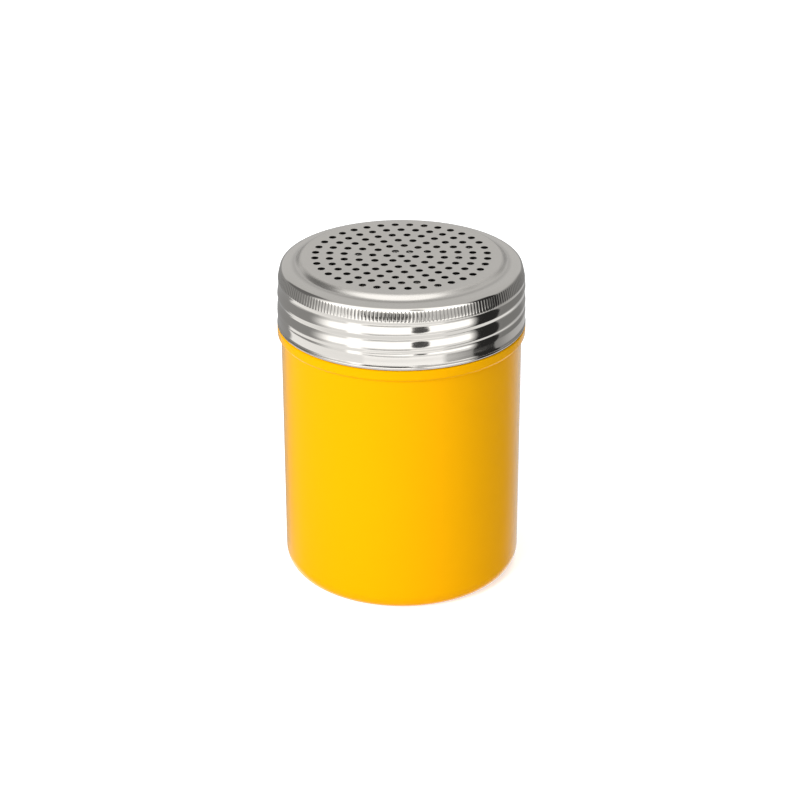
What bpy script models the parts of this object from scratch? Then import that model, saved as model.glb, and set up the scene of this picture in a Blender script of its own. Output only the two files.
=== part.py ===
"""A restaurant spice shaker: a steel can with a yellow coat, and a perforated lid that screws onto it.

The can is one cup drawn from sheet. Its foot is rounded, a shoulder stands out below its neck, and
the neck has a rolled thread and a curled mouth. The lid is one cup stamped from stainless sheet. Its
raised top is perforated, its grip leans in, and its wall is rolled into the thread that runs on the
neck's. The curled hem round the lid's open edge is a ring of its own here, split from the wall at the
crease where the sheet turns back. Z points up, and the origin is at the middle of the foot.
"""

import math

import bmesh
import bpy

# Driving dimensions, in metres. The can:
CAN_RADIUS = 0.03385
CAN_SHEET = 0.0005
FOOT_ROUND = 0.0040
FOOT_RISE = 0.0052
FOOT_LAND = 0.00435
PANEL_RISE = 0.0010
PANEL_SLOPE = 0.0012
SHOULDER_HEIGHT = 0.0748
SHOULDER_DEPTH = 0.0024
SHOULDER_ROUND = 0.0006
SWELL_HEIGHT = 0.0014
NECK_HEIGHT = 0.0172
MOUTH_CURL_RADIUS = 0.0006

# The lid
SKIRT_STAND_OUT = 0.00095
SKIRT_HEIGHT = 0.0038
SKIRT_BLEND = 0.0020
LID_SHEET = 0.0004
HEM_HEIGHT = 0.0009
HEM_STAND_OUT = 0.0001
WALL_LEAN = 0.015
BEAD_DROP = 0.0035
BEAD_LOWER_FLANK = 0.0010
BEAD_STAND_OUT = 0.00018
GRIP_LEAN_IN = 0.00037
GRIP_SHOULDER_WIDTH = 0.00145
GRIP_SHOULDER_DROP = 0.0013
LEDGE_WIDTH = 0.0030
STEP_WIDTH = 0.0019
PLATEAU_RISE = 0.0018

# The perforations, in rings round one hole at the middle
HOLE_DIAMETER = 0.0019
HOLE_PITCH = 0.0040
HOLE_RINGS = 6
HOLES_PER_RING = 6
HOLE_TURN = math.radians(-5.85)

# The thread, rolled alike into the neck and the lid. Its upper flank is the long one.
THREAD_PITCH = 0.0042
THREAD_DEPTH = 0.0004
THREAD_TURNS = 2
THREAD_RISE = 0.00405
THREAD_START = math.radians(90)
UPPER_FLANK_SHARE = 0.7
FADE_TURNS = 0.12
RUN_IN = 0.0008
RUN_OUT = 0.0016

# Clearances
SEAT_GAP = 0.0003
THREAD_CLEARANCE = 0.0003
CUT_OVERRUN = 0.0005

# Facets
SEGMENTS = 44
THREAD_ROWS = 17
HOLE_SIDES = 8

# Worked out from the sizes above
PANEL_RADIUS = CAN_RADIUS - FOOT_ROUND - FOOT_LAND - PANEL_SLOPE
SKIRT_RADIUS = CAN_RADIUS + SKIRT_STAND_OUT
SHOULDER_RADIUS = SKIRT_RADIUS + HEM_STAND_OUT
MOUTH_HEIGHT = SHOULDER_HEIGHT + NECK_HEIGHT
LID_RIM_HEIGHT = SHOULDER_HEIGHT + SEAT_GAP
SKIRT_TOP = LID_RIM_HEIGHT + SKIRT_HEIGHT
GRIP_TOP_HEIGHT = MOUTH_HEIGHT + SEAT_GAP + LID_SHEET
PLATEAU_HEIGHT = GRIP_TOP_HEIGHT + PLATEAU_RISE
BEAD_HEIGHT = GRIP_TOP_HEIGHT - BEAD_DROP
FIRST_CREST_HEIGHT = SHOULDER_HEIGHT + THREAD_RISE
THREAD_LOW = FIRST_CREST_HEIGHT - RUN_IN
THREAD_HIGH = BEAD_HEIGHT - BEAD_LOWER_FLANK


def clear_scene():
    for thing in list(bpy.data.objects):
        bpy.data.objects.remove(thing, do_unlink=True)


def finish(name, colour, roughness, metallic):
    """A Principled material in the piece's colour."""
    material = bpy.data.materials.new(name)
    material.use_nodes = True
    shader = material.node_tree.nodes["Principled BSDF"]
    shader.inputs["Base Color"].default_value = (*colour, 1)
    shader.inputs["Roughness"].default_value = roughness
    shader.inputs["Metallic"].default_value = metallic
    return material


def arc(centre, width, height, first, last, steps):
    """Points of a section along an elliptical arc between two angles in degrees."""
    points = []
    for step in range(steps + 1):
        angle = math.radians(first + (last - first) * step / steps)
        points.append((centre[0] + width * math.cos(angle), centre[1] + height * math.sin(angle)))
    return points


def sweep(start, end, steps, upright=False):
    """An S-shaped step in a section. It leaves both its ends level or, if upright, straight up."""
    points = []
    for step in range(steps + 1):
        even = step / steps
        eased = (1 - math.cos(math.pi * even)) / 2
        across, up = (eased, even) if upright else (even, eased)
        points.append((start[0] + (end[0] - start[0]) * across, start[1] + (end[1] - start[1]) * up))
    return points


def offset(section, thickness):
    """The other face of the sheet: the section moved by the thickness to the left of its direction."""
    normals = []
    for start, end in zip(section, section[1:]):
        length = math.dist(start, end)
        normals.append(((start[1] - end[1]) / length, (end[0] - start[0]) / length))
    moved = []
    for index, (radius, height) in enumerate(section):
        beside = normals[max(index - 1, 0):index + 1]
        across = sum(normal[0] for normal in beside) / len(beside)
        up = sum(normal[1] for normal in beside) / len(beside)
        stretch = thickness / (across * across + up * up)
        moved.append((radius + across * stretch, height + up * stretch))
    return moved


def ramp(value):
    """0 below 0, 1 above 1, and smooth between."""
    value = min(max(value, 0), 1)
    return value * value * (3 - 2 * value)


def lid_wall_radius(height):
    """The lid's outer radius between the crests of its thread. The wall leans in as it climbs."""
    return SKIRT_RADIUS - THREAD_DEPTH - WALL_LEAN * max(height - FIRST_CREST_HEIGHT, 0)


def neck_radius(height):
    """The neck's outer radius between the crests of its thread."""
    return lid_wall_radius(height) - LID_SHEET - THREAD_CLEARANCE


def thread(height, angle, open_below=False):
    """The share of the thread's depth by which it stands out at a height and at an angle about Z.

    The crest climbs one pitch a turn, right-handed, with a long flank above it and a short one below.
    It fades out at both ends. A thread that is open below runs on down into the skirt instead, so
    that the mating thread can enter it.
    """
    around = ((angle - THREAD_START) % math.tau) / math.tau
    pitches = (height - FIRST_CREST_HEIGHT) / THREAD_PITCH - around
    above = pitches % 1
    if above < UPPER_FLANK_SHARE:
        along = math.floor(pitches) + around
        wave = (1 + math.cos(math.pi * above / UPPER_FLANK_SHARE)) / 2
    else:
        along = math.floor(pitches) + 1 + around
        wave = (1 + math.cos(math.pi * (1 - above) / (1 - UPPER_FLANK_SHARE))) / 2
    wave *= ramp((THREAD_TURNS - along) / FADE_TURNS) * ramp((THREAD_HIGH - height) / RUN_OUT)
    if open_below:
        skirt = 1 - ramp((height - SKIRT_TOP) / SKIRT_BLEND)
        return 1 - (1 - wave) * (1 - skirt)
    return wave * ramp(along / FADE_TURNS)


def threaded_rows(wall_radius, open_below=False):
    """The wall's rows over the thread: a radius, a height and how the thread ends below."""
    points = []
    for row in range(THREAD_ROWS + 1):
        height = THREAD_LOW + (THREAD_HIGH - THREAD_LOW) * row / THREAD_ROWS
        points.append((wall_radius(height), height, open_below))
    return points


def turned(name, section, material, capped=True):
    """A solid turned from a section about Z.

    A capped section starts and ends on a flat disc, and any other is closed into a ring. A point of
    a threaded row has a third value, and the thread stands out from its radius.
    """
    work = bmesh.new()
    rings = []
    for radius, height, *open_below in section:
        ring = []
        for step in range(SEGMENTS):
            angle = math.tau * step / SEGMENTS
            reach = radius + (THREAD_DEPTH * thread(height, angle, *open_below) if open_below else 0)
            ring.append(work.verts.new((reach * math.cos(angle), reach * math.sin(angle), height)))
        rings.append(ring)
    pairs = list(zip(rings, rings[1:]))
    if capped:
        work.faces.new(rings[0])
        work.faces.new(rings[-1])
    else:
        pairs.append((rings[-1], rings[0]))
    for lower, upper in pairs:
        for step in range(SEGMENTS):
            beside = (step + 1) % SEGMENTS
            work.faces.new((lower[step], lower[beside], upper[beside], upper[step]))
    bmesh.ops.recalc_face_normals(work, faces=work.faces)
    return placed(name, work, material)


def placed(name, work, material):
    """An object of the worked mesh, in the scene, smooth but for its sharp bends."""
    mesh = bpy.data.meshes.new(name)
    work.to_mesh(mesh)
    work.free()
    mesh.materials.append(material)
    mesh.shade_smooth()
    mesh.set_sharp_from_angle(angle=math.radians(40))
    piece = bpy.data.objects.new(name, mesh)
    bpy.context.scene.collection.objects.link(piece)
    return piece


def build_can():
    """The drawn can: a raised panel inside its foot, the wall, the shoulder, the neck and its mouth."""
    foot_centre = (CAN_RADIUS - FOOT_ROUND, FOOT_RISE)
    face_height = SHOULDER_HEIGHT - SHOULDER_DEPTH
    nose_centre = (SHOULDER_RADIUS - SHOULDER_ROUND, SHOULDER_HEIGHT - SHOULDER_ROUND)
    neck_foot = neck_radius(SHOULDER_HEIGHT)
    mouth_radius = neck_radius(BEAD_HEIGHT) + BEAD_STAND_OUT - GRIP_LEAN_IN
    curl_centre = (mouth_radius - MOUTH_CURL_RADIUS, MOUTH_HEIGHT - MOUTH_CURL_RADIUS)
    body = [(PANEL_RADIUS, PANEL_RISE), (PANEL_RADIUS + PANEL_SLOPE, 0)]
    body += arc(foot_centre, FOOT_ROUND, FOOT_RISE, -90, 0, 4)
    body += sweep((CAN_RADIUS, face_height - SWELL_HEIGHT), (SHOULDER_RADIUS, face_height), 3, upright=True)
    body += arc(nose_centre, SHOULDER_ROUND, SHOULDER_ROUND, 0, 90, 2)
    body += [(neck_foot, SHOULDER_HEIGHT)]
    curl = arc(curl_centre, MOUTH_CURL_RADIUS, MOUTH_CURL_RADIUS, 0, 225, 5)
    inside = offset(body, CAN_SHEET)[:-1]
    inside += [(neck_foot - CAN_SHEET, SHOULDER_HEIGHT - CAN_SHEET)]
    inside += [(neck_radius(THREAD_HIGH) - CAN_SHEET, THREAD_HIGH)]
    inside += [(mouth_radius - CAN_SHEET, curl_centre[1] - MOUTH_CURL_RADIUS)]
    coat = finish("can_coat", (0.93, 0.53, 0.005), 0.35, 0.0)
    return turned("can", body + threaded_rows(neck_radius) + curl + inside[::-1], coat)


def perforations():
    """One mesh of prisms, a prism for each hole, that stand through the plateau's sheet."""
    places = [(0, 0)]
    for ring in range(1, HOLE_RINGS + 1):
        for hole in range(ring * HOLES_PER_RING):
            angle = HOLE_TURN + math.tau * hole / (ring * HOLES_PER_RING)
            places.append((ring * HOLE_PITCH * math.cos(angle), ring * HOLE_PITCH * math.sin(angle)))
    work = bmesh.new()
    for across, along in places:
        low, high = [
            [
                work.verts.new((
                    across + HOLE_DIAMETER / 2 * math.cos(math.tau * side / HOLE_SIDES),
                    along + HOLE_DIAMETER / 2 * math.sin(math.tau * side / HOLE_SIDES),
                    height,
                ))
                for side in range(HOLE_SIDES)
            ]
            for height in (PLATEAU_HEIGHT - LID_SHEET - CUT_OVERRUN, PLATEAU_HEIGHT + CUT_OVERRUN)
        ]
        work.faces.new(low)
        work.faces.new(high)
        for side in range(HOLE_SIDES):
            beside = (side + 1) % HOLE_SIDES
            work.faces.new((low[side], low[beside], high[beside], high[side]))
    bmesh.ops.recalc_face_normals(work, faces=work.faces)
    cutter = placed("perforation_cutter", work, finish("cutter", (1, 0, 0), 0.5, 0))
    cutter.hide_render = True
    cutter.display_type = "WIRE"
    return cutter


def build_lid():
    """The stamped lid: the skirt, the thread, a bead, the grip, its shoulder and the perforated plateau."""
    skirt_low = LID_RIM_HEIGHT + HEM_HEIGHT + SEAT_GAP
    bead_radius = lid_wall_radius(BEAD_HEIGHT) + BEAD_STAND_OUT
    grip_radius = bead_radius - GRIP_LEAN_IN
    shoulder_centre = (grip_radius - GRIP_SHOULDER_WIDTH, GRIP_TOP_HEIGHT - GRIP_SHOULDER_DROP)
    plateau_radius = shoulder_centre[0] - LEDGE_WIDTH - STEP_WIDTH
    top = sweep((lid_wall_radius(THREAD_HIGH), THREAD_HIGH), (bead_radius, BEAD_HEIGHT), 2, upright=True)[1:]
    top += arc(shoulder_centre, GRIP_SHOULDER_WIDTH, GRIP_SHOULDER_DROP, 0, 90, 4)
    top += sweep((plateau_radius + STEP_WIDTH, GRIP_TOP_HEIGHT), (plateau_radius, PLATEAU_HEIGHT), 5)
    outside = [(SKIRT_RADIUS, skirt_low)] + threaded_rows(lid_wall_radius, open_below=True) + top
    inside = [
        (radius - LID_SHEET, height, *open_below)
        for radius, height, *open_below in outside[:-len(top)]
    ] + offset(top, LID_SHEET)
    steel = finish("lid_steel", (0.62, 0.60, 0.57), 0.25, 1.0)
    lid = turned("lid", outside[::-1] + inside, steel)
    cut = lid.modifiers.new("perforations", "BOOLEAN")
    cut.operation = "DIFFERENCE"
    cut.solver = "EXACT"
    cut.object = perforations()
    return lid


def build_hem():
    """The curled hem round the lid's open edge, on the line of the skirt."""
    half_width = (LID_SHEET + HEM_STAND_OUT) / 2
    centre = (SKIRT_RADIUS - LID_SHEET + half_width, LID_RIM_HEIGHT + HEM_HEIGHT / 2)
    ring = arc(centre, half_width, HEM_HEIGHT / 2, 0, 360, 8)[:-1]
    return turned("lid_hem", ring, finish("hem_steel", (0.62, 0.60, 0.57), 0.25, 1.0), capped=False)


clear_scene()
build_can()
build_lid()
build_hem()
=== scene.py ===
"""The looks of a restaurant spice shaker: a yellow coated can under a stainless, perforated screw lid."""

import math

import bmesh
import bpy
from mathutils import Matrix, Vector


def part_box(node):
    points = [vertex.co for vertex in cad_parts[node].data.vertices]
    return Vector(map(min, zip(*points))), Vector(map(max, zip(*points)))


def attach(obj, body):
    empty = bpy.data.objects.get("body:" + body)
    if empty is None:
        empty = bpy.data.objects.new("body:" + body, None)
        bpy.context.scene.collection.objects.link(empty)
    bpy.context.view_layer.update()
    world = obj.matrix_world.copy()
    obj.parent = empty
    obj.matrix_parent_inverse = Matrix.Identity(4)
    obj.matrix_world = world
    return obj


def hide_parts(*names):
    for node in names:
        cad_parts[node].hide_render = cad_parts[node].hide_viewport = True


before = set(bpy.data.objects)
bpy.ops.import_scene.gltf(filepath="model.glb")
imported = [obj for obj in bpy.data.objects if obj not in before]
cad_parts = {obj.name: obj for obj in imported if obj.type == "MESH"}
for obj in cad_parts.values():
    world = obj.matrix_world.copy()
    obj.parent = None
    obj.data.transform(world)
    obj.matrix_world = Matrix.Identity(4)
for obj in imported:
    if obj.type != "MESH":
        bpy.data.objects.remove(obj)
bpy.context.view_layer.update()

# The can. One cup drawn from 0.5 mm sheet: a flat foot round a raised panel, a straight wall, a shoulder
# rolled out below the neck, a thread rolled into the neck, and a curled mouth. The outside is powder-coated
# yellow up to the shoulder. The neck and the inside stay bare steel.
_, can_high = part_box("can")
_, lid_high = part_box("lid")
hem_low, hem_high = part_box("lid_hem")
can_sheet = 0.0005
can_radius = 0.03385
foot_round = 0.0040
foot_rise = 0.0052
foot_land = 0.00435
panel_slope = 0.0012
panel_rise = 0.0010
panel_radius = can_radius - foot_round - foot_land - panel_slope
shoulder_radius = can_high.x
shoulder_gap = 0.00015
shoulder_height = hem_low.z - shoulder_gap
shoulder_depth = 0.0024
shoulder_round = 0.0006
swell_height = 0.0014
face_height = shoulder_height - shoulder_depth
swell_low = face_height - swell_height
crease_fade = 0.0004
mouth_curl = 0.0006
lid_sheet = 0.0004
thread_gap = 0.0003
thread_pitch = 0.0042
thread_depth = 0.0004
thread_turns = 2
upper_flank_share = 0.7
run_in = 0.0008
run_out = 0.0012
wall_lean = 0.015
step_height = 0.0018
grip_top = lid_high.z - step_height
bead_below_grip = 0.0035
bead_height = grip_top - bead_below_grip
bead_lower_flank = 0.0010
bead_stand_out = 0.00018
grip_lean_in = 0.00037
crest_above_shoulder = 0.0039
first_crest = shoulder_height + crest_above_shoulder
thread_low = first_crest - run_in
thread_high = bead_height - bead_lower_flank
skirt_height = 0.0038
skirt_top = hem_low.z + skirt_height
skirt_blend = 0.0030
can_columns = 288
curl_tail = mouth_curl * 1.4
coat_yellow = (0.925, 0.443, 0.0004, 1)
coat_deep = (0.91, 0.43, 0.0004, 1)
bare_steel = (0.66, 0.635, 0.60, 1)


def wall_radius(height):
    """The radius that the neck and the bead follow. It leans in as it climbs past the first crest."""
    return lid_high.x - thread_depth - wall_lean * max(height - first_crest, 0)


def neck_radius(height):
    """The neck's outer radius between the crests of its thread."""
    return wall_radius(height) - lid_sheet - thread_gap


def arc(centre, width, height, first, last, steps):
    """Points of a section along an elliptical arc between two angles in degrees."""
    angles = [math.radians(first + (last - first) * step / steps) for step in range(steps + 1)]
    return [(centre[0] + width * math.cos(angle), centre[1] + height * math.sin(angle)) for angle in angles]


def sweep(start, end, steps, upright=False):
    """An S-shaped step in a section. It leaves both its ends level or, if upright, straight up."""
    points = []
    for step in range(steps + 1):
        even = step / steps
        eased = (1 - math.cos(math.pi * even)) / 2
        across, up = (eased, even) if upright else (even, eased)
        points.append((start[0] + (end[0] - start[0]) * across, start[1] + (end[1] - start[1]) * up))
    return points


def offset(section, thickness):
    """The other face of the sheet: the section moved by the thickness to the left of its direction."""
    normals = []
    for start, end in zip(section, section[1:]):
        length = math.dist(start, end)
        normals.append(((start[1] - end[1]) / length, (end[0] - start[0]) / length))
    moved = []
    for index, (radius, height) in enumerate(section):
        beside = normals[max(index - 1, 0):index + 1]
        across = sum(normal[0] for normal in beside) / len(beside)
        up = sum(normal[1] for normal in beside) / len(beside)
        stretch = thickness / (across * across + up * up)
        moved.append((radius + across * stretch, height + up * stretch))
    return moved


def ramp(value):
    """0 below 0, 1 above 1, and smooth between."""
    value = min(max(value, 0), 1)
    return value * value * (3 - 2 * value)


def threaded(radius_at, steps, open_below=False):
    """Points of a wall over the thread, each with its shares of the thread and of the skirt below it."""
    points = []
    for step in range(steps + 1):
        height = thread_low + (thread_high - thread_low) * step / steps
        skirt = 1 - ramp((height - skirt_top) / skirt_blend) if open_below else 0
        marks = {"thread": ramp((thread_high - height) / run_out), "skirt": skirt}
        points.append((radius_at(height), height, marks))
    return points


def row_of(points, columns, **marks):
    """Section points as rows for turning, each with its count of columns and its marks."""
    rows = []
    for radius, height, *own in points:
        rows.append((radius, height, columns, {**(own[0] if own else {}), **marks}))
    return rows


def turned(name, rows, marks, capped=True, closed=False):
    """A mesh turned about Z from rows. Where the count of columns changes, one side's is a multiple."""
    work = bmesh.new()
    layers = {mark: work.verts.layers.float.new(mark) for mark in marks}
    rings = []
    for radius, height, columns, row_marks in rows:
        ring = []
        for column in range(columns):
            angle = math.tau * column / columns
            point = work.verts.new((radius * math.cos(angle), radius * math.sin(angle), height))
            for mark, value in row_marks.items():
                point[layers[mark]] = value
            ring.append(point)
        rings.append(ring)
    pairs = list(zip(rings, rings[1:]))
    if closed:
        pairs.append((rings[-1], rings[0]))
    for one, other in pairs:
        few, many = sorted((one, other), key=len)
        ratio = len(many) // len(few)
        for column in range(len(few)):
            run = [many[(column * ratio + step) % len(many)] for step in range(ratio + 1)]
            face = [few[column], few[(column + 1) % len(few)], *reversed(run)]
            work.faces.new(face if few is one else face[::-1])
    if capped:
        work.faces.new(rings[0][::-1])
        work.faces.new(rings[-1])
    bmesh.ops.recalc_face_normals(work, faces=work.faces)
    mesh = bpy.data.meshes.new(name)
    work.to_mesh(mesh)
    work.free()
    piece = bpy.data.objects.new(name, mesh)
    bpy.context.scene.collection.objects.link(piece)
    return piece


class Wire:
    """A socket in a node tree. A sum of wires adds its Math nodes to the tree."""

    def __init__(self, tree, socket=None):
        self.tree = tree
        self.socket = socket

    def node(self, kind, settings=None, sockets=None, output=0):
        """A new node's output: its settings are made first, then the values or links of its sockets."""
        made = self.tree.nodes.new(kind)
        for name, value in (settings or {}).items():
            setattr(made, name, value)
        for name, value in (sockets or {}).items():
            if isinstance(value, Wire):
                self.tree.links.new(value.socket, made.inputs[name])
            else:
                made.inputs[name].default_value = value
        return Wire(self.tree, made.outputs[output])

    def math(self, operation, *others):
        return self.node("ShaderNodeMath", {"operation": operation}, dict(enumerate((self, *others))))

    def __add__(self, other):
        return self.math("ADD", other)

    def __mul__(self, other):
        return self.math("MULTIPLY", other)

    def __truediv__(self, other):
        return self.math("DIVIDE", other)

    def __sub__(self, other):
        return self.math("SUBTRACT", other)

    def __rsub__(self, other):
        return self.node("ShaderNodeMath", {"operation": "SUBTRACT"}, {0: other, 1: self})

    __radd__ = __add__
    __rmul__ = __mul__

    def smooth(self, low, high):
        """0 below low, 1 above high, and smooth between."""
        values = {"Value": self, "From Min": low, "From Max": high}
        return self.node("ShaderNodeMapRange", {"interpolation_type": "SMOOTHSTEP"}, values)

    def axes(self):
        """A vector's three numbers."""
        split = self.tree.nodes.new("ShaderNodeSeparateXYZ")
        self.tree.links.new(self.socket, split.inputs[0])
        return [Wire(self.tree, output) for output in split.outputs]


def geometry_tree(name, **inputs):
    """The start of a Geometry Nodes tree: its geometry, and its named inputs by name."""
    tree = bpy.data.node_groups.new(name, "GeometryNodeTree")
    tree.interface.new_socket(name="Geometry", in_out="INPUT", socket_type="NodeSocketGeometry")
    tree.interface.new_socket(name="Geometry", in_out="OUTPUT", socket_type="NodeSocketGeometry")
    for label, kind in inputs.items():
        tree.interface.new_socket(name=label, in_out="INPUT", socket_type=f"NodeSocket{kind}")
    entry = tree.nodes.new("NodeGroupInput")
    wires = {socket.name: Wire(tree, socket) for socket in entry.outputs if socket.name}
    return wires.pop("Geometry"), wires


def close_tree(geometry, finish):
    """Ends a Geometry Nodes tree in real geometry with its material."""
    real = geometry.node("GeometryNodeRealizeInstances", sockets={"Geometry": geometry})
    dressed = real.node("GeometryNodeSetMaterial", sockets={"Geometry": real, "Material": finish})
    leave = geometry.tree.nodes.new("NodeGroupOutput")
    geometry.tree.links.new(dressed.socket, leave.inputs[0])
    return geometry.tree


def applied(piece, *steps):
    """The piece with each tree's result as its plain mesh. A step is a tree and its inputs by name."""
    for tree, values in steps:
        modifier = piece.modifiers.new(tree.name, "NODES")
        modifier.node_group = tree
        for socket in tree.interface.items_tree:
            if socket.in_out == "INPUT" and socket.name in values:
                modifier[socket.identifier] = values[socket.name]
    graph = bpy.context.evaluated_depsgraph_get()
    graph.update()
    made = bpy.data.meshes.new_from_object(piece.evaluated_get(graph))
    piece.modifiers.clear()
    piece.data = made
    return piece


def shade(piece, bend):
    """Smooth shading, but for edges that bend by more than an angle in degrees."""
    piece.data.shade_smooth()
    piece.data.set_sharp_from_angle(angle=math.radians(bend))


def mark_of(geometry, name):
    """A mark that each point carries from its row."""
    return geometry.node("GeometryNodeInputNamedAttribute", {"data_type": "FLOAT"}, {"Name": name})


def moved_out(geometry, angle, reach):
    """The geometry with each point moved away from Z."""
    offsets = {"X": reach * angle.math("COSINE"), "Y": reach * angle.math("SINE")}
    step = geometry.node("ShaderNodeCombineXYZ", sockets=offsets)
    return geometry.node("GeometryNodeSetPosition", sockets={"Geometry": geometry, "Offset": step})


def rolled_thread():
    """The tree that rolls a right-handed thread into a turned wall.

    The crest climbs one pitch a turn, with a long flank above it and a short one below. It fades out
    at both ends, but if open it runs on down into the skirt.
    """
    geometry, wires = geometry_tree("rolled thread", Pitch="Float", Depth="Float", Turns="Float",
                                    First="Float", Start="Float", Upper="Float", Fade="Float",
                                    Open="Float", Finish="Material")
    across, along, up = geometry.node("GeometryNodeInputPosition").axes()
    angle = along.math("ARCTAN2", across)
    around = ((angle - wires["Start"]) / math.tau).math("FLOORED_MODULO", 1)
    pitches = (up - wires["First"]) / wires["Pitch"] - around
    above = pitches.math("FLOORED_MODULO", 1)
    travel = pitches.math("FLOOR") + around + above.math("GREATER_THAN", wires["Upper"])
    flank = (above / wires["Upper"]).math("MINIMUM", (1 - above) / (1 - wires["Upper"]))
    wave = (flank * math.pi).math("COSINE") * 0.5 + 0.5
    end = (wires["Turns"] - travel).smooth(0, wires["Fade"])
    start = travel.smooth(0, wires["Fade"]).math("MAXIMUM", wires["Open"])
    left_out = (1 - wave * end * start * mark_of(geometry, "thread")) * (1 - mark_of(geometry, "skirt"))
    return close_tree(moved_out(geometry, angle, wires["Depth"] * (1 - left_out)), wires["Finish"])


def principled(name, colour, roughness, metallic):
    """A new material, its Principled shader and a starting wire."""
    material = bpy.data.materials.new(name)
    material.use_nodes = True
    shader = material.node_tree.nodes["Principled BSDF"]
    shader.inputs["Base Color"].default_value = colour
    shader.inputs["Roughness"].default_value = roughness
    shader.inputs["Metallic"].default_value = metallic
    return material, shader, Wire(material.node_tree)


def blended(share, low, high):
    """A colour between two by a wire's share. Each colour is a wire or four numbers."""
    colours = {"Factor": share, "A": low, "B": high}
    return share.node("ShaderNodeMix", {"data_type": "RGBA"}, colours, output=2)


def coated_steel():
    """Powder coat where the attribute "coat" is 1, with its orange peel, and bare steel elsewhere.

    The coat gleams where it is seen edge-on, but less so in the crease below the shoulder.
    """
    material, shader, start = principled("yellow powder coat", coat_yellow, 0.3, 0)
    place = start.node("ShaderNodeTexCoord", output=3)
    coat = start.node("ShaderNodeAttribute", {"attribute_name": "coat"}, output=2).smooth(0.4, 0.6)
    peel = start.node("ShaderNodeTexNoise", sockets={"Vector": place, "Scale": 900, "Detail": 2})
    cloud = start.node("ShaderNodeTexNoise", sockets={"Vector": place, "Scale": 35, "Detail": 3})
    colour = blended(coat, bare_steel, blended(cloud, coat_yellow, coat_deep))
    bump = start.node("ShaderNodeBump", sockets={"Height": peel, "Strength": 0.12, "Distance": 0.00006})
    links = material.node_tree.links
    links.new(colour.socket, shader.inputs["Base Color"])
    links.new((0.18 + coat * (0.12 + cloud * 0.04)).socket, shader.inputs["Roughness"])
    links.new((1 - coat).socket, shader.inputs["Metallic"])
    links.new(bump.socket, shader.inputs["Normal"])
    edge_on = start.node("ShaderNodeLayerWeight", output=1)
    height = place.axes()[2]
    crease = height.smooth(swell_low, swell_low + crease_fade)
    crease = crease * (1 - height.smooth(face_height - crease_fade, face_height))
    gloss = edge_on.smooth(0.55, 0.86) * coat * (1 - 0.6 * crease)
    links.new(gloss.socket, shader.inputs["Coat Weight"])
    shader.inputs["Coat Roughness"].default_value = 0.12
    shader.inputs["Specular IOR Level"].default_value = 0.02
    return material


foot_centre = (can_radius - foot_round, foot_rise)
nose_centre = (shoulder_radius - shoulder_round, shoulder_height - shoulder_round)
neck_foot = neck_radius(shoulder_height)
mouth_radius = neck_radius(bead_height) + bead_stand_out - grip_lean_in
curl_centre = (mouth_radius - mouth_curl, can_high.z - mouth_curl)
body = [(panel_radius * 0.5, panel_rise), (panel_radius, panel_rise)]
body += [(panel_radius + panel_slope * 0.3, panel_rise * 0.85)]
body += [(panel_radius + panel_slope * 0.7, panel_rise * 0.15)]
body += [(panel_radius + panel_slope, 0)]
body += arc(foot_centre, foot_round, foot_rise, -90, 0, steps=24)
body += [(can_radius, face_height * 0.5)]
body += sweep((can_radius, swell_low), (shoulder_radius, face_height), steps=14, upright=True)
body += arc(nose_centre, shoulder_round, shoulder_round, 0, 90, steps=8)
lining = offset(body + [(neck_foot, shoulder_height)], can_sheet)[:-1]
lining += [(neck_foot - can_sheet, shoulder_height - can_sheet)]
rows = row_of(body, can_columns, coat=1)
rows += row_of([(neck_foot + can_sheet, shoulder_height)], can_columns, coat=1)
rows += row_of([(neck_foot, shoulder_height)], can_columns, coat=0)
rows += row_of(threaded(neck_radius, steps=64), can_columns, coat=0)
rows += row_of(arc(curl_centre, mouth_curl, mouth_curl, 0, 250, steps=16), can_columns, coat=0)
rows += row_of([(mouth_radius - can_sheet, curl_centre[1] - curl_tail)], can_columns, coat=0)
neck_inside = threaded(lambda height: neck_radius(height) - can_sheet, steps=48)
rows += row_of(neck_inside[::-1], can_columns, coat=0)
rows += row_of(lining[::-1], can_columns, coat=0)
can_cup = turned("can_cup", rows, ("thread", "skirt", "coat"))
thread_start = math.radians(90)
thread_fade = 0.12
thread_sizes = {"Pitch": thread_pitch, "Turns": thread_turns, "First": first_crest, "Start": thread_start,
                "Upper": upper_flank_share, "Fade": thread_fade}
thread_tree = rolled_thread()
applied(can_cup, (thread_tree, {**thread_sizes, "Depth": thread_depth, "Open": 0, "Finish": coated_steel()}))
shade(can_cup, bend=40)
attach(can_cup, "can")
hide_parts("can")

# The lid's hem. The open edge of the lid's sheet, curled back on itself into a narrow round bead that
# hides the cut edge and stops on the can's shoulder.
hem_columns = 288
hem_centre = ((hem_high.x + lid_high.x - lid_sheet) / 2, (hem_low.z + hem_high.z) / 2)
hem_half_width = (hem_high.x - lid_high.x + lid_sheet) / 2
hem_half_height = (hem_high.z - hem_low.z) / 2
hem_steel = (0.46, 0.445, 0.42, 1)
steel_shade = (0.61, 0.59, 0.555, 1)
# Painted shade: a darker steel for the foot of the step, where the ledge meets it.
step_foot_shade = (0.42, 0.405, 0.385, 1)
# Painted shade: near-black steel for the grooves of the knurling.
groove_shade = (0.10, 0.097, 0.09, 1)
satin_fade = 0.0001
plate_fade_low = 0.0006
plate_fade_high = 0.0002


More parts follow.
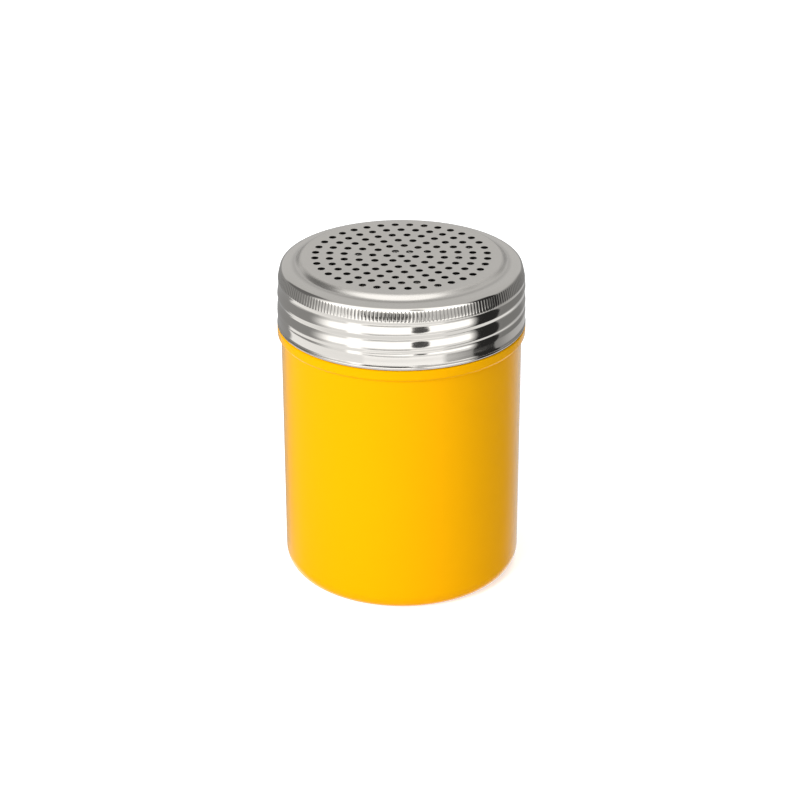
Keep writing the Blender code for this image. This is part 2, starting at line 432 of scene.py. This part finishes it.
def stainless(name, steel=bare_steel, with_painted_shade=False):
    """Bright stamped steel: mirror-like walls with faint drawing marks, a satin step and a duller top.

    With painted shade, the foot of the step turns darker and the grooves of the knurling turn near-black.
    """
    material, shader, start = principled(name, steel, 0.1, 1)
    place = start.node("ShaderNodeTexCoord", output=3)
    across, along, height = place.axes()
    satin = height.smooth(grip_top - satin_fade, grip_top + satin_fade) * 0.16
    satin = satin + height.smooth(lid_high.z - plate_fade_low, lid_high.z - plate_fade_high) * 0.13
    blotch = start.node("ShaderNodeTexNoise", sockets={"Vector": place, "Scale": 60, "Detail": 4})
    grain = start.node("ShaderNodeTexNoise", sockets={"Vector": place, "Scale": 2600, "Detail": 2})
    stretched = start.node("ShaderNodeMapping", sockets={"Vector": place, "Scale": (1, 1, 14)})
    drawn = start.node("ShaderNodeTexNoise", sockets={"Vector": stretched, "Scale": 110, "Detail": 3})
    tint = blended(blotch, steel, steel_shade)
    if with_painted_shade:
        reach = (across * across + along * along).math("SQRT")
        # Painted shade: the foot of the step, where the ledge meets it, turns darker.
        foot = reach.smooth(ledge_inner - foot_shade_inward, ledge_inner)
        foot = foot * (1 - reach.smooth(ledge_inner, ledge_inner + foot_shade_outward))
        tint = blended(foot * 0.55, tint, step_foot_shade)
        # Painted shade: the grooves of the knurling turn near-black.
        wave = (along.math("ARCTAN2", across) * teeth).math("COSINE").smooth(0, 1)
        band = height.smooth(knurl_low, knurl_low + knurl_run_in)
        band = band * (1 - height.smooth(knurl_high - knurl_run_out, knurl_high))
        tint = blended(wave * band * 0.45, tint, groove_shade)
    fine = start.node("ShaderNodeBump", sockets={"Height": grain, "Strength": 0.10, "Distance": 0.00002})
    waved = start.node("ShaderNodeBump", sockets={"Height": drawn, "Strength": 0.06,
                                                  "Distance": 0.0001, "Normal": fine})
    links = material.node_tree.links
    links.new(tint.socket, shader.inputs["Base Color"])
    links.new((0.06 + blotch * 0.05 + satin).socket, shader.inputs["Roughness"])
    links.new(waved.socket, shader.inputs["Normal"])
    return material


curl = arc(hem_centre, hem_half_width, hem_half_height, 0, 360, steps=28)[:-1]
hem_curl = turned("hem_curl", row_of(curl, hem_columns), (), capped=False, closed=True)
hem_curl.data.materials.append(stainless("hem stainless", steel=hem_steel))
shade(hem_curl, bend=60)
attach(hem_curl, "hem")
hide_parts("lid_hem")

# The lid. One cup stamped from 0.4 mm stainless sheet: a skirt that flares out a little at the hem, the
# rolled thread, a bead, a knurled grip that leans in, a rounded shoulder, a ledge that climbs gently inwards
# and a raised top. The top is punched with rings of holes from above, so their upper rims are rounded.
lid_thread_depth = 0.00025
grip_head_drop = 0.0012
grip_head_height = grip_top - grip_head_drop
bead_crown_drop = 0.00025
grip_lean_low = 11
grip_lean_high = 15
shoulder_start = 0.0321
shoulder_start_rise = 0.00009
shoulder_start_height = grip_top + shoulder_start_rise
ledge_slope = math.radians(4.5)
ledge_inner = 0.02985
# The painted shade at the foot of the step reaches this far inwards and outwards from it.
foot_shade_inward = 0.0007
foot_shade_outward = 0.0012
plateau_radius = 0.02755
lid_lean = 0.022
flare_lean = 14
flare_height = 0.00032
flare_ease = 0.0002
flare_fade = 0.0028
hem_seam = 0.00005
teeth = 204
tooth_columns = 8
lid_columns = teeth * 2
inner_columns = teeth
knurl_low = 0.0884
knurl_high = 0.0919
knurl_run_in = 0.0009
knurl_run_out = 0.0003
knurl_depth = 0.000055
hole_radius = 0.00102
hole_round = 0.00005
hole_pitch = 0.0040
hole_rings = 6
hole_turn = math.radians(-5.85)
punch_overrun = 0.0005
dish_depth = 0.00022
# The lid's steel, with painted shade at the foot of the step and in the grooves of the knurling.
lid_steel = stainless("lid stainless", with_painted_shade=True)


def pressed_knurl():
    """The tree that presses upright grooves into the grip, as deep as the attribute "knurl" says."""
    geometry, wires = geometry_tree("pressed knurl", Teeth="Float", Depth="Float", Finish="Material")
    across, along, _ = geometry.node("GeometryNodeInputPosition").axes()
    angle = along.math("ARCTAN2", across)
    wave = (angle * wires["Teeth"]).math("COSINE")
    groove = wave.smooth(0.3, 1) * mark_of(geometry, "knurl")
    return close_tree(moved_out(geometry, angle, wires["Depth"] * groove * -1), wires["Finish"])


def punched_rings():
    """The tree that punches rings of holes through a plate: 6, 12, 18 and so on, round one hole.

    The press leaves the plate slightly dished, and the walls of its holes get a rough material of their own,
    near-black as painted shade inside the holes.
    """
    geometry, wires = geometry_tree("punched rings", Punch="Object", Rings="Float", Pitch="Float",
                                    Turn="Float", Dish="Float", Edge="Material", Finish="Material")
    rings = wires["Rings"]
    spots = geometry.node("GeometryNodePoints", sockets={"Count": 1 + 3 * rings * (rings + 1)})
    index = geometry.node("GeometryNodeInputIndex")
    ring = (((12 * index + 9).math("SQRT") - 3) / 6).math("CEIL")
    number = index - 1 - 3 * ring * (ring - 1)
    angle = wires["Turn"] + number * math.tau / (6 * ring).math("MAXIMUM", 1)
    placed = moved_out(spots, angle, ring * wires["Pitch"])
    punch = geometry.node("GeometryNodeObjectInfo", sockets={"Object": wires["Punch"]}, output=4)
    punches = geometry.node("GeometryNodeInstanceOnPoints", sockets={"Points": placed, "Instance": punch})
    solid = geometry.node("GeometryNodeRealizeInstances", sockets={"Geometry": punches})
    cut = geometry.node("GeometryNodeMeshBoolean", {"operation": "DIFFERENCE", "solver": "EXACT"},
                        {"Mesh 1": geometry, "Mesh 2": solid})
    across, along, _ = cut.node("GeometryNodeInputPosition").axes()
    reach = (across * across + along * along).math("SQRT") / (rings * wires["Pitch"])
    drop = geometry.node("ShaderNodeCombineXYZ", sockets={"Z": wires["Dish"] * (reach.smooth(0, 1) - 1)})
    dished = cut.node("GeometryNodeSetPosition", sockets={"Geometry": cut, "Offset": drop})
    tree = close_tree(dished, wires["Finish"])
    whole = tree.nodes["Set Material"]
    # The walls of the holes get the near-black material of painted shade.
    upright = geometry.node("GeometryNodeInputNormal").axes()[2].math("ABSOLUTE").math("LESS_THAN", 0.8)
    wall_shading = {"Geometry": Wire(tree, whole.outputs[0]), "Selection": upright, "Material": wires["Edge"]}
    walls = geometry.node("GeometryNodeSetMaterial", sockets=wall_shading)
    tree.links.new(walls.socket, tree.nodes["Group Output"].inputs[0])
    return tree


def knurled(points):
    """Rows of the grip's outside, with a tooth's columns and the depth of its grooves at each height."""
    rows = []
    for radius, height in points:
        depth = ramp((height - knurl_low) / knurl_run_in) * ramp((knurl_high - height) / knurl_run_out)
        rows.append((radius, height, teeth * tooth_columns if depth else lid_columns, {"knurl": depth}))
    return rows


def lid_wall(height):
    """The lid's outer radius in the hollows of its thread. The skirt narrows a little above its flare."""
    narrowed = flare_depth * (1 - ramp((height - flare_top) / flare_fade))
    return lid_high.x - lid_thread_depth - lid_lean * max(height - first_crest, 0) - narrowed


def ledge_height(radius):
    """The top of the ledge, which climbs towards the step."""
    return shoulder_start_height + (shoulder_start - radius) * math.tan(ledge_slope)


def rounded(start, corner, end, steps):
    """A curve that leaves its start towards a corner and reaches its end from there."""
    points = []
    for step in range(steps + 1):
        even = step / steps
        shares = ((1 - even) ** 2, 2 * even * (1 - even), even ** 2)
        points.append(tuple(sum(share * point[axis] for share, point in zip(shares, (start, corner, end)))
                            for axis in (0, 1)))
    return points


skirt_low = hem_high.z + hem_seam
flare_tilt = math.tan(math.radians(flare_lean))
flare_depth = (flare_height + flare_ease / 2) * flare_tilt
flare_top = skirt_low + flare_height + flare_ease
flare_bend = (lid_high.x - flare_height * flare_tilt, skirt_low + flare_height)
narrow = lid_high.x - flare_depth
flare = rounded(flare_bend, (narrow, flare_top - flare_ease / 2), (narrow, flare_top), steps=4)
skirt_steps = 5
for step in range(1, skirt_steps):
    height = flare_top + (thread_low - flare_top) * step / skirt_steps
    flare.append((lid_wall(height) + lid_thread_depth, height))
bead_radius = wall_radius(bead_height) + bead_stand_out
bead_crown = bead_height - bead_crown_drop
lid_thread = threaded(lid_wall, steps=72, open_below=True)[:-2]
grip = sweep(lid_thread[-1][:2], (bead_radius, bead_crown), steps=10, upright=True)[1:]
grip_steps = 12
rise = (grip_head_height - bead_crown) / grip_steps
for step in range(grip_steps):
    lean = math.radians(grip_lean_low + (grip_lean_high - grip_lean_low) * (step + 0.5) / grip_steps)
    grip.append((grip[-1][0] - rise * math.tan(lean), grip[-1][1] + rise))
head_radius, head_height = grip[-1]
steepness = 1 / math.tan(math.radians(grip_lean_high))
over_ledge = head_height + head_radius * steepness - ledge_height(0)
corner_radius = over_ledge / (steepness - math.tan(ledge_slope))
corner = (corner_radius, ledge_height(corner_radius))
grip += rounded(grip[-1], corner, (shoulder_start, shoulder_start_height), steps=24)[1:]
step_up = []
climb_steps = 24
for step in range(climb_steps + 1):
    radius = ledge_inner + (plateau_radius - ledge_inner) * step / climb_steps
    climbed = (1 - math.cos(math.pi * step / climb_steps)) / 2
    step_up.append((radius, ledge_height(radius) * (1 - climbed) + lid_high.z * climbed))
inner_top = offset(grip + step_up, lid_sheet)
rows = row_of([(lid_high.x, skirt_low)] + flare, lid_columns)
rows += row_of(lid_thread, lid_columns)
rows += knurled(grip)
rows += row_of(step_up[:-1], lid_columns)
rows += row_of(step_up[-1:], inner_columns)
inside = row_of([(lid_high.x - lid_sheet, skirt_low)], inner_columns)
lid_inside = threaded(lambda height: lid_wall(height) - lid_sheet, steps=40, open_below=True)
inside += row_of(lid_inside, inner_columns)
inside += row_of(inner_top, inner_columns)
inside[-1] = (plateau_radius, lid_high.z - lid_sheet, inner_columns, {})
lid_cup = turned("lid_cup", rows[::-1] + inside, ("thread", "skirt", "knurl"), capped=False)
applied(lid_cup, (thread_tree, {**thread_sizes, "Depth": lid_thread_depth, "Open": 1, "Finish": lid_steel}),
        (pressed_knurl(), {"Teeth": teeth, "Depth": knurl_depth, "Finish": lid_steel}))

punch_points = [(hole_radius, -lid_sheet - punch_overrun), (hole_radius, -hole_round)]
punch_points += arc((hole_radius + hole_round, -hole_round), hole_round, hole_round, 180, 90, steps=3)[1:]
punch_points += [(hole_radius + hole_round, punch_overrun)]
punch = turned("punch", row_of(punch_points, columns=24), ())
punch.data.transform(Matrix.Translation((0, 0, lid_high.z)))
plate_rings = [hole_pitch * (ring + 0.5) for ring in range(hole_rings + 1)]
plate_rows = row_of([(radius, lid_high.z) for radius in plate_rings], inner_columns // 4)
plate_rows += row_of([(plateau_radius, lid_high.z), (plateau_radius, lid_high.z - lid_sheet)], inner_columns)
plate_rows += row_of([(radius, lid_high.z - lid_sheet) for radius in plate_rings[::-1]], inner_columns // 4)
plate = turned("plate", plate_rows, ())
# Painted shade: the walls of the holes are near-black, rough steel that stands for the shade inside them.
hole_shade_colour = (0.02, 0.019, 0.018, 1)
hole_wall_shade = principled("hole wall shade", hole_shade_colour, roughness=0.6, metallic=1)[0]
hole_sizes = {"Punch": punch, "Rings": hole_rings, "Pitch": hole_pitch, "Turn": hole_turn,
              "Dish": dish_depth, "Edge": hole_wall_shade, "Finish": lid_steel}
applied(plate, (punched_rings(), hole_sizes))

# Faces of the hole walls keep the painted-shade material in the lid's second slot.
for face in plate.data.polygons:
    face.material_index = int(plate.data.materials[face.material_index] == hole_wall_shade)
lid_cup.data.materials.clear()
for finish in (lid_steel, hole_wall_shade):
    lid_cup.data.materials.append(finish)
same_place = 1e-6
weld_distance = 2e-6
joined = bmesh.new()
joined.from_mesh(lid_cup.data)
joined.from_mesh(plate.data)
rim = [face for face in joined.faces if abs(face.normal.z) < 0.1
       and all(abs(point.co.xy.length - plateau_radius) < same_place for point in face.verts)]
bmesh.ops.delete(joined, geom=rim, context="FACES_ONLY")
bmesh.ops.remove_doubles(joined, verts=joined.verts, dist=weld_distance)
bmesh.ops.recalc_face_normals(joined, faces=joined.faces)
joined.to_mesh(lid_cup.data)
joined.free()
for helper in (punch, plate):
    bpy.data.objects.remove(helper)
shade(lid_cup, bend=35)
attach(lid_cup, "lid")
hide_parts("lid")

# The studio. A white sweep under the shaker, which the camera sees as pure white, and round it the light
# surfaces and dark gaps that a mirror-like lid picks up.
floor_size = 3.0
floor = bpy.data.objects.new("floor", bpy.data.meshes.new("floor"))
half = floor_size / 2
corners = [(-half, -half, 0), (half, -half, 0), (half, half, 0), (-half, half, 0)]
floor.data.from_pydata(corners, [], [(0, 1, 2, 3)])
bpy.context.scene.collection.objects.link(floor)


def white_sweep():
    """Paper that takes the shaker's shadow, but that polished steel looks through to the studio."""
    material = bpy.data.materials.new("white sweep")
    material.use_nodes = True
    tree = material.node_tree
    tree.nodes.clear()
    start = Wire(tree)
    paper = start.node("ShaderNodeBsdfDiffuse", sockets={"Color": (0.9, 0.9, 0.9, 1)})
    glow = start.node("ShaderNodeEmission", sockets={"Color": (1, 1, 1, 1), "Strength": 0.55})
    seen = start.node("ShaderNodeAddShader", sockets={0: paper, 1: glow})
    rays = tree.nodes.new("ShaderNodeLightPath").outputs
    camera_ray, glossy_ray = Wire(tree, rays["Is Camera Ray"]), Wire(tree, rays["Is Glossy Ray"])
    lit = start.node("ShaderNodeMixShader", sockets={0: camera_ray, 1: paper, 2: seen})
    clear = start.node("ShaderNodeBsdfTransparent")
    mixed = start.node("ShaderNodeMixShader", sockets={0: glossy_ray, 1: lit, 2: clear})
    leave = tree.nodes.new("ShaderNodeOutputMaterial")
    tree.links.new(mixed.socket, leave.inputs[0])
    return material


floor.data.materials.append(white_sweep())


def studio_world():
    """The studio by direction, in degrees: azimuth from the front, positive to the right, and elevation.

    Below the horizon lies the paper in front and the room's dimmer sides. Above it stand a bright front
    with the dark figures that the lid mirrors, a dark gap at the right, and the walls under the ceiling.
    """
    world = bpy.data.worlds.new("studio")
    bpy.context.scene.world = world
    world.use_nodes = True
    tree = world.node_tree
    tree.nodes.clear()
    start = Wire(tree)
    across, along, up = start.node("ShaderNodeTexCoord", output=0).axes()
    azimuth = across.math("ARCTAN2", along * -1).math("DEGREES")
    elevation = up.math("ARCSINE").math("DEGREES")

    def window(value, low, high, soft):
        return value.smooth(low - soft, low + soft) * (1 - value.smooth(high - soft, high + soft))

    def disc(middle, level, width, height):
        across, up = (azimuth - middle) / width, (elevation - level) / height
        return 1 - (across * across + up * up).math("SQRT").smooth(0.85, 1.15)

    paper_left, paper_middle, paper_right = -126, -36, 41
    gap_left, gap_right, corner_right = 71, 98, 145
    above_floor = elevation.smooth(-34, -28)
    lower = 1 - elevation.smooth(-22.5, -20.5)
    paper = 1.18 * window(azimuth, paper_left, paper_middle, 3)
    paper = paper + 1.42 * window(azimuth, paper_middle, paper_right, 3)
    paper = paper + window(azimuth, paper_right, gap_left, 2) * (1.2 - azimuth * 0.0122)
    front = 1.5 * azimuth.smooth(-92, -62) * (1 - azimuth.smooth(61, gap_left))
    front = front * (1 - 0.55 * window(azimuth, -84, -46, 6) * window(elevation, -3.5, 5, 1.5))
    front = front * (1 - 0.4 * elevation.smooth(44, 58)) * (1 - 0.7 * elevation.smooth(72, 90))
    skyline = 1 - 0.5 * (1 - elevation.smooth(-15, -11)) * (1 - window(azimuth, -50, -36, 3))
    sill = 1 - 0.7 * window(azimuth, -30, 8, 2) * (1 - elevation.smooth(-18, -16))
    shade = 1 - 0.75 * window(azimuth, 12, 90, 4) * window(elevation, -3, 9, 1)
    bowl = disc(-14, 3.8, 24, 4.5) * 0.98 - disc(-21, 5.5, 12, 3) * 0.3
    on_thread = disc(16.5, -7.5, 8, 5) * 0.96
    on_shoulder = disc(17, 44, 8, 17) * 0.7
    figures = (1 - bowl) * (1 - on_thread) * (1 - on_shoulder)
    dark = window(azimuth, gap_left, gap_right, 1.5) * (1 - elevation.smooth(30, 50))
    sides = 0.33 + 0.22 * azimuth.smooth(gap_right, 130)
    left_corner = window(azimuth, -131, -92, 5) * (1 - elevation.smooth(46, 58))
    right_corner = window(azimuth, gap_right, corner_right, 6) * (1 - elevation.smooth(4, 30))
    ceiling = 0.66 - 0.5 * left_corner - 0.38 * right_corner
    far_walls = 0.32 - 0.08 * window(azimuth, gap_right, corner_right, 6)
    low_room = lower * (paper + sides * (1 - window(azimuth, paper_left, gap_left, 2)))
    walls = far_walls + (ceiling - far_walls) * elevation.smooth(0, 12)
    high_room = (1 - lower) * (front * skyline * sill * shade + walls) * figures
    glossy = (1 - above_floor) * 1.1 + above_floor * ((low_room + high_room) * (1 - dark) + 0.03)
    rays = tree.nodes.new("ShaderNodeLightPath").outputs
    camera_ray = Wire(tree, rays["Is Camera Ray"])
    diffuse_ray = Wire(tree, rays["Is Diffuse Ray"])
    mirrored = glossy * (1 - diffuse_ray) + 0.31 * diffuse_ray
    strength = mirrored * (1 - camera_ray) + camera_ray
    backdrop = start.node("ShaderNodeBackground", sockets={"Color": (1, 1, 1, 1), "Strength": strength})
    leave = tree.nodes.new("ShaderNodeOutputWorld")
    tree.links.new(backdrop.socket, leave.inputs[0])


studio_world()


def softbox(name, place, size, power):
    """A square area light that faces the middle of the shaker, unseen in reflections."""
    lamp = bpy.data.lights.new(name, "AREA")
    lamp.size = size
    lamp.energy = power
    holder = bpy.data.objects.new(name, lamp)
    aim = Vector((0, 0, lid_high.z / 2)) - Vector(place)
    holder.location = place
    holder.rotation_euler = aim.to_track_quat("-Z", "Y").to_euler()
    holder.visible_glossy = False
    bpy.context.scene.collection.objects.link(holder)


softbox("key", place=(-0.7, -0.9, 0.8), size=0.6, power=14.7)
softbox("top", place=(0.1, 0.1, 1.3), size=0.8, power=6)

lens_length = 98.775
camera_place = (-0.00007, -0.56796, 0.31880)
pitch_down = math.radians(25.32)
yaw = math.radians(0.082)
roll = math.radians(0.15)
camera = bpy.data.cameras.new("camera")
camera.lens = lens_length
viewer = bpy.data.objects.new("camera", camera)
turns = Matrix.Rotation(yaw, 4, "Z") @ Matrix.Rotation(math.radians(90) - pitch_down, 4, "X")
viewer.matrix_world = Matrix.Translation(camera_place) @ turns @ Matrix.Rotation(-roll, 4, "Z")
bpy.context.scene.collection.objects.link(viewer)
bpy.context.scene.camera = viewer
bpy.context.scene.view_settings.view_transform = "Standard"
